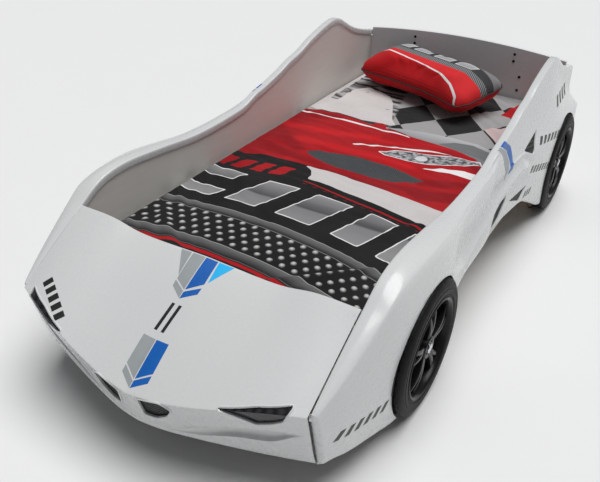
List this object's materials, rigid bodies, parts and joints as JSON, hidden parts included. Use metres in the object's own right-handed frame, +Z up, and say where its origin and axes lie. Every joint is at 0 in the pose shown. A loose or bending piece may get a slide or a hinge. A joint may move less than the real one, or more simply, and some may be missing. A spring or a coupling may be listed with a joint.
{
  "type": "car bed",
  "caption": "Low child's bed shaped like a racing car: moulded shells over a board frame, slatted base, decorative wheels, mattress, bedspread and pillow.",
  "frame": {"origin": "on the floor under the middle of the bed", "axes": "+Z up, nose of the car towards -Y, backboard towards +Y, +X to the left side of the car"},
  "size_m": [1.12, 2.25, 0.6854],
  "materials": {
    "body_white": "glossy moulded shell with a faint pearl ripple",
    "cap_white": "glossy moulded cap",
    "insert_black": "smoked glossy black",
    "mesh_black": "fine black mesh",
    "board_cream": "matt warm white laminate over fibreboard",
    "board_grey": "matt pale grey laminate over fibreboard",
    "board_raw": "raw fibreboard",
    "tyre_black": "satin black moulded tyre",
    "rim_black": "semi-gloss black moulded rim",
    "hub_grey": "silver lacquer",
    "zinc_steel": "zinc plated",
    "bolt_black": "black oxide",
    "painted_steel": "dark powder coat",
    "slat_wood": "planed pine",
    "plastic_dark": "moulded, fine grain",
    "mattress_fabric": "quilted white ticking",
    "bedspread_fabric": "printed satin-weave cotton with a racing pattern",
    "pillow_fabric": "printed satin-weave cotton"
  },
  "bodies": {
    "root": {"hood_shell": "body_white", "left_side_shell": "body_white", "right_side_shell": "body_white", "left_headlight": "insert_black", "right_headlight": "insert_black", "left_grille": "mesh_black", "right_grille": "mesh_black", "left_intake": "mesh_black", "right_intake": "mesh_black", "left_upper_vent": "mesh_black", "right_upper_vent": "mesh_black", "left_lower_vent": "mesh_black", "right_lower_vent": "mesh_black", "left_side_board": "board_cream", "right_side_board": "board_cream", "backboard": "board_grey", "footboard": "board_cream", "front_left_wheel_panel": "board_raw", "front_right_wheel_panel": "board_raw", "rear_left_wheel_panel": "board_raw", "rear_right_wheel_panel": "board_raw", "front_left_tyre": "tyre_black", "front_right_tyre": "tyre_black", "rear_left_tyre": "tyre_black", "rear_right_tyre": "tyre_black", "front_left_rim": "rim_black", "front_right_rim": "rim_black", "rear_left_rim": "rim_black", "rear_right_rim": "rim_black", "front_left_hub_cap": "hub_grey", "front_right_hub_cap": "hub_grey", "rear_left_hub_cap": "hub_grey", "rear_right_hub_cap": "hub_grey", "wheel_screws": "zinc_steel", "left_slat_rail": "painted_steel", "right_slat_rail": "painted_steel", "rail_screws": "zinc_steel", "slats": "slat_wood", "slat_end_caps": "plastic_dark", "centre_beam": "painted_steel", "centre_legs": "painted_steel", "leg_glides": "plastic_dark", "floor_glides": "plastic_dark", "corner_brackets": "zinc_steel", "bracket_bolts": "zinc_steel", "backboard_bolts": "bolt_black", "shell_screw_caps": "cap_white"},
    "mattress": {"mattress": "mattress_fabric"},
    "bedspread": {"bedspread": "bedspread_fabric"},
    "pillow": {"pillow": "pillow_fabric"}
  },
  "joints": [
    {"name": "mattress_lift", "type": "slide", "parent": "root", "child": "mattress", "axis": [0, 0, 1], "range_m": [0, 0.6]},
    {"name": "bedspread_lift", "type": "slide", "parent": "mattress", "child": "bedspread", "axis": [0, 0, 1], "range_m": [0, 0.4]},
    {"name": "pillow_lift", "type": "slide", "parent": "bedspread", "child": "pillow", "axis": [0, 0, 1], "range_m": [0, 0.4]}
  ]
}
